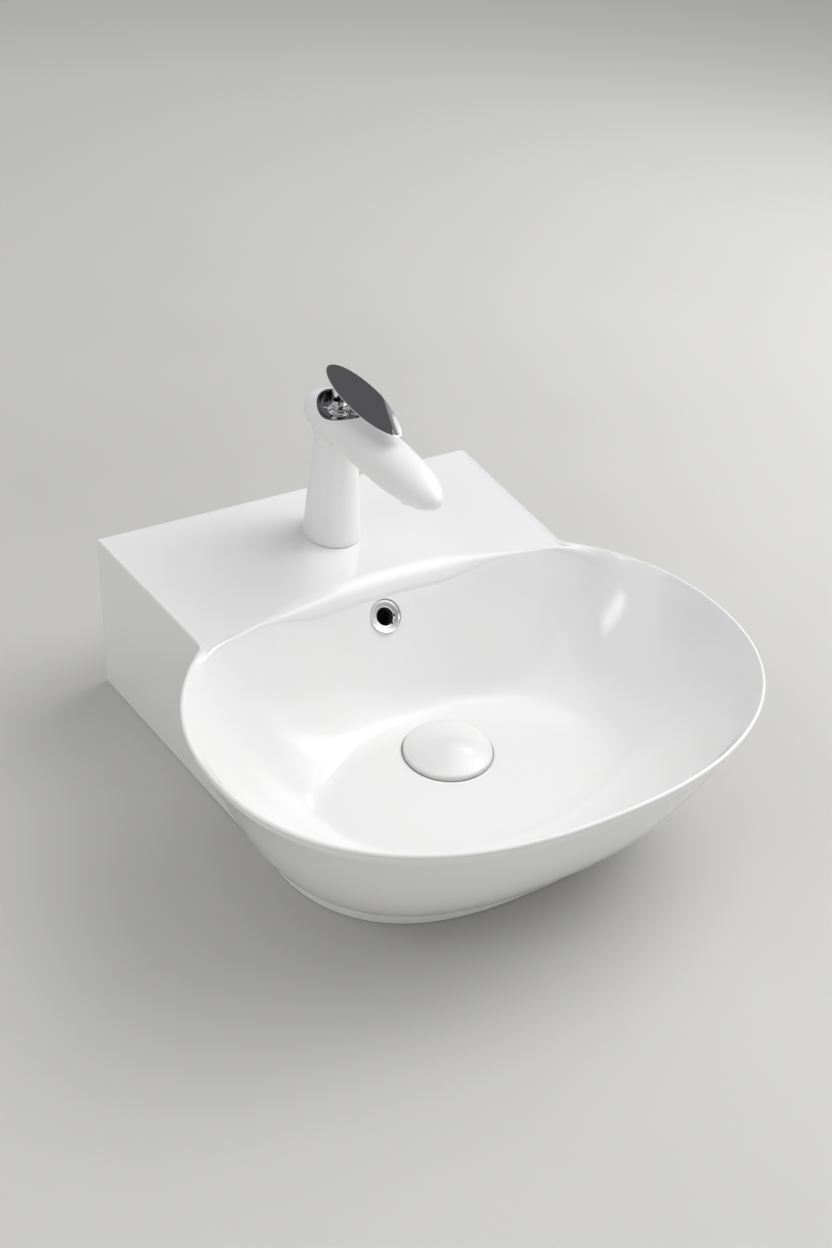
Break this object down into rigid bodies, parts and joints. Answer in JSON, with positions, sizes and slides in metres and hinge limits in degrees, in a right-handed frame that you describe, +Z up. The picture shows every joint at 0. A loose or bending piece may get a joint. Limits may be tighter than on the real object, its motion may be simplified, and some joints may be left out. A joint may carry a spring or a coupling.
{
  "type": "wall-hung washbasin",
  "caption": "Wall-hung ceramic washbasin: flat tap deck, wide oval bowl, overflow, push-to-close waste and a single-lever tap.",
  "frame": {"origin": "on the wall face, midway between the two wall bolt holes", "axes": "+X along the wall to the right of someone who faces it, +Y into the wall, +Z up"},
  "size_m": [0.4516, 0.474, 0.3309],
  "materials": {
    "glaze": "glossy white glaze",
    "cap_glaze": "glossy white glaze",
    "tap_white": "satin white coating",
    "chrome": "polished chrome",
    "brass": "turned brass",
    "steel": "plain steel",
    "rubber": "matt black rubber",
    "plastic": "white moulded plastic",
    "disc": "lapped ceramic"
  },
  "bodies": {
    "fixed": {"basin": "glaze", "overflow_ring": "chrome", "waste_body": "chrome", "flange_seal": "rubber", "waste_gasket": "rubber", "waste_washer": "plastic", "waste_nut": "brass", "click_sleeve": "plastic", "plunger_spring": "steel", "tap_body": "tap_white", "base_gasket": "rubber", "recess_ring": "chrome", "cartridge_housing": "plastic", "cartridge_base": "plastic", "inlet_seals": "rubber", "fixed_disc": "disc", "cartridge_nut": "brass", "aerator_housing": "chrome", "aerator_insert": "plastic", "aerator_seal": "rubber", "shoe_gasket": "rubber", "shoe_plate": "steel", "stud": "brass", "stud_nut": "brass"},
    "rotor": {"cartridge_rotor": "plastic", "pivot_pin": "steel"},
    "lever": {"lever": "chrome", "lever_screw": "steel", "stem": "brass"},
    "disc": {"moving_disc": "disc", "disc_carrier": "plastic"},
    "cap": {"waste_cap": "cap_glaze", "cap_core": "brass", "cap_seal": "rubber", "plunger": "brass"}
  },
  "joints": [
    {"name": "lever_turn", "type": "hinge", "parent": "fixed", "child": "rotor", "pos_m": [0, -0.081, 0.1968], "axis": [0, -0.1132, 0.9936], "range_deg": [-45, 45]},
    {"name": "lever_lift", "type": "hinge", "parent": "rotor", "child": "lever", "pos_m": [0, -0.07885, 0.17792], "axis": [-1, 0, 0], "range_deg": [0, 20]},
    {"name": "disc_slide", "type": "slide", "parent": "rotor", "child": "disc", "axis": [0, -0.9936, -0.1132], "range_m": [0, 0.0031]},
    {"name": "cap_slide", "type": "slide", "parent": "fixed", "child": "cap", "axis": [0, 0, 1], "range_m": [0, 0.008], "deforming": ["plunger_spring"]}
  ],
  "couplings": [
    {"joint": "disc_slide", "follows": "lever_lift", "m_per_rad": 0.0086}
  ]
}
